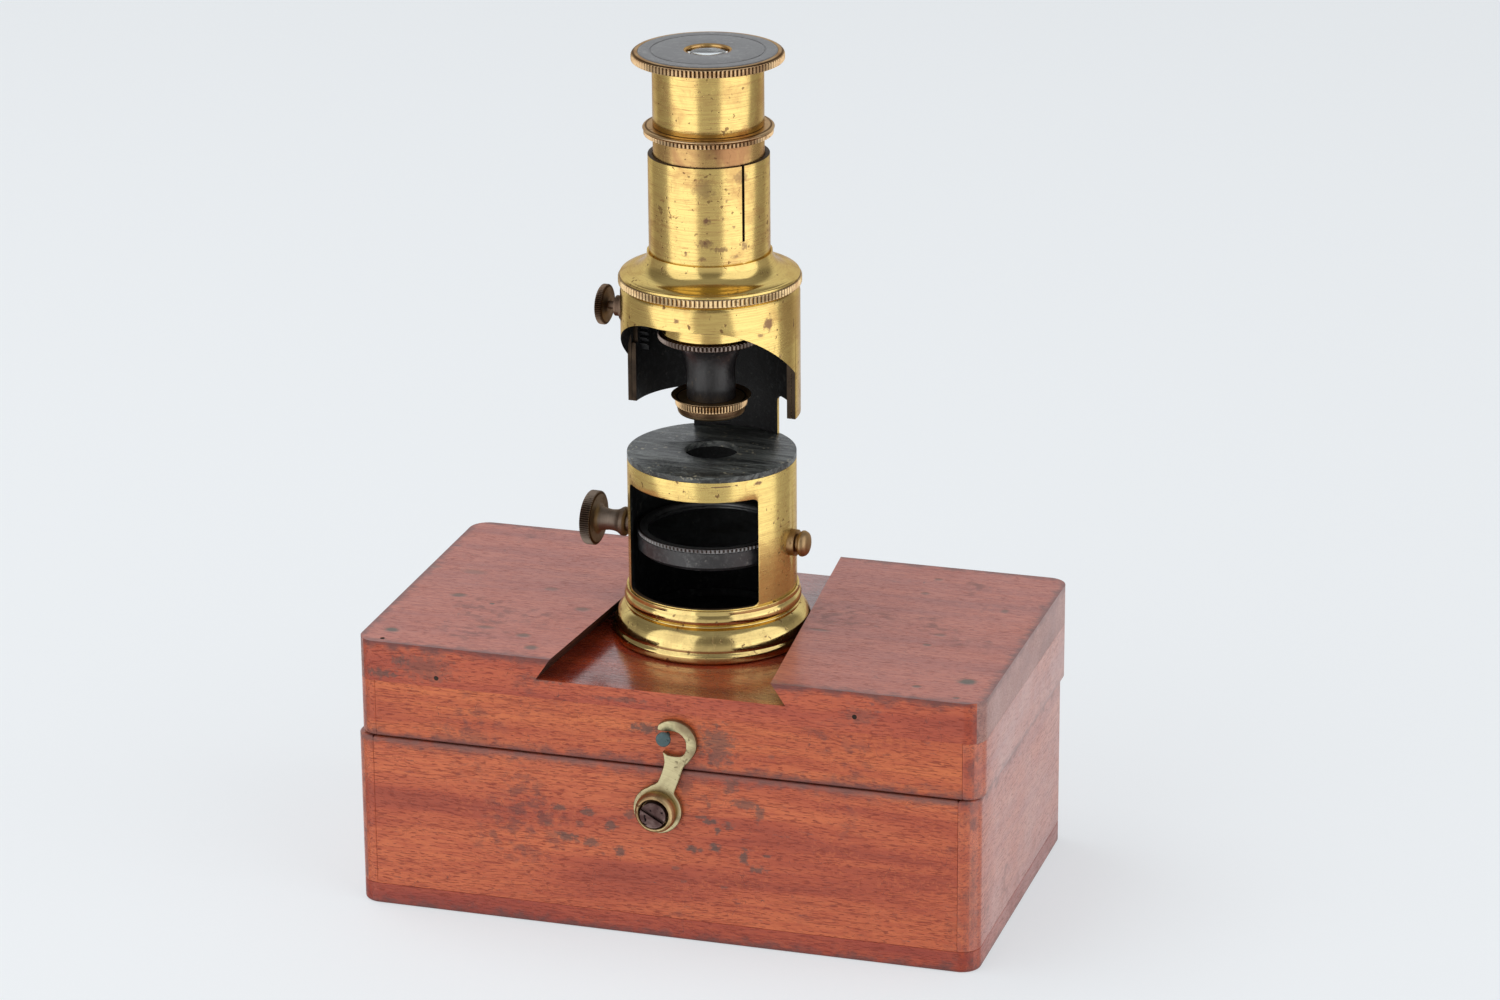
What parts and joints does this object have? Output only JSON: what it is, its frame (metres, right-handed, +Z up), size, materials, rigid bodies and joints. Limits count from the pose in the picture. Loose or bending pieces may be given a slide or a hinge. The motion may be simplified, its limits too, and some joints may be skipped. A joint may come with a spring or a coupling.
{
  "type": "pocket microscope",
  "caption": "Brass drum microscope that slides into the dovetail groove on the lid of its hinged wooden case, with mirror, stage, rack focusing and draw tube.",
  "frame": {"origin": "middle of the case's underside", "axes": "+X along the case to the right as seen from the latch side, +Y to the hinge side, +Z up"},
  "size_m": [0.1308, 0.0789, 0.1748],
  "materials": {
    "mahogany": "worn french polish",
    "cradle_wood": "plain",
    "brass": "old lacquer, worn",
    "knurled_brass": "browned, knurled",
    "bronzed_brass": "dark, knurled",
    "black_brass": "black paint, rubbed",
    "hinge_brass": "dull",
    "hook_brass": "pale, tarnished",
    "green_brass": "verdigris",
    "iron": "dark nail",
    "lens_glass": "clear",
    "mirror_glass": "old silvering"
  },
  "bodies": {
    "case": {"base_board": "mahogany", "case_front": "mahogany", "case_back": "mahogany", "case_left_end": "mahogany", "case_right_end": "mahogany", "foot_cradle": "cradle_wood", "tube_cradle": "cradle_wood", "hinge_leaf_lower_left": "hinge_brass", "hinge_leaf_lower_right": "hinge_brass", "hinge_pins": "hinge_brass", "lower_hinge_screws": "hinge_brass", "latch_washer": "brass", "latch_screw": "bronzed_brass"},
    "lid": {"lid_top": "mahogany", "lid_front": "mahogany", "lid_back": "mahogany", "lid_left_end": "mahogany", "lid_right_end": "mahogany", "hinge_leaf_upper_left": "hinge_brass", "hinge_leaf_upper_right": "hinge_brass", "upper_hinge_screws": "hinge_brass", "catch_pin": "green_brass", "lid_brads": "iron"},
    "latch": {"latch_hook": "hook_brass"},
    "foot": {"foot": "brass"},
    "drum": {"drum_tube": "brass", "stage_plate": "black_brass", "focus_rack": "brass", "axle_bush_left": "knurled_brass", "axle_bush_right": "knurled_brass"},
    "mirror": {"mirror_shaft": "bronzed_brass", "mirror_knob": "bronzed_brass", "pivot_screw": "knurled_brass", "mirror_cell": "black_brass", "mirror_bezel": "black_brass", "mirror_glass": "mirror_glass"},
    "shell": {"upper_shell": "brass", "shell_cap": "brass", "sleeve": "brass", "pinion_bush": "bronzed_brass"},
    "pinion": {"pinion_shaft": "bronzed_brass", "focus_knob": "bronzed_brass", "pinion_gear": "brass"},
    "draw": {"draw_tube": "brass", "draw_tube_ring": "knurled_brass", "nosepiece": "brass", "objective_ring": "black_brass", "objective_body": "black_brass", "objective_cap": "knurled_brass", "objective_front_lens": "lens_glass", "objective_back_lens": "lens_glass"},
    "eyepiece": {"eyepiece_tube": "brass", "eyepiece_rim": "knurled_brass", "eyepiece_disc": "black_brass", "eye_lens": "lens_glass", "field_stop": "black_brass", "field_lens": "lens_glass"}
  },
  "joints": [
    {"name": "lid_hinge", "type": "hinge", "parent": "case", "child": "lid", "pos_m": [0, 0.037, 0.03695], "axis": [-1, 0, 0], "range_deg": [0, 100]},
    {"name": "latch_turn", "type": "hinge", "parent": "case", "child": "latch", "pos_m": [-0.0004, -0.0368, 0.0283], "axis": [0, 1, 0], "range_deg": [-12, 100]},
    {"name": "foot_slide", "type": "slide", "parent": "lid", "child": "foot", "axis": [0, 1, 0], "range_m": [-0.035, 0.0015]},
    {"name": "drum_turn", "type": "hinge", "parent": "foot", "child": "drum", "pos_m": [0, 0, 0.06], "axis": [0, 0, 1], "continuous": true},
    {"name": "mirror_tilt", "type": "hinge", "parent": "drum", "child": "mirror", "pos_m": [0, 0, 0.07405], "axis": [0.9976, -0.0698, 0], "continuous": true},
    {"name": "focus_slide", "type": "slide", "parent": "drum", "child": "shell", "axis": [0, 0, 1], "range_m": [-0.0065, 0.001]},
    {"name": "pinion_turn", "type": "hinge", "parent": "shell", "child": "pinion", "pos_m": [0, 0, 0.12005], "axis": [0.9976, -0.0698, 0], "range_deg": [-29, 187]},
    {"name": "draw_slide", "type": "slide", "parent": "shell", "child": "draw", "axis": [0, 0, -1], "range_m": [-0.02, 0.0036]},
    {"name": "eyepiece_turn", "type": "hinge", "parent": "draw", "child": "eyepiece", "pos_m": [0, 0, 0.16], "axis": [0, 0, 1], "continuous": true}
  ],
  "couplings": [
    {"joint": "pinion_turn", "follows": "focus_slide", "rad_per_m": -500}
  ]
}
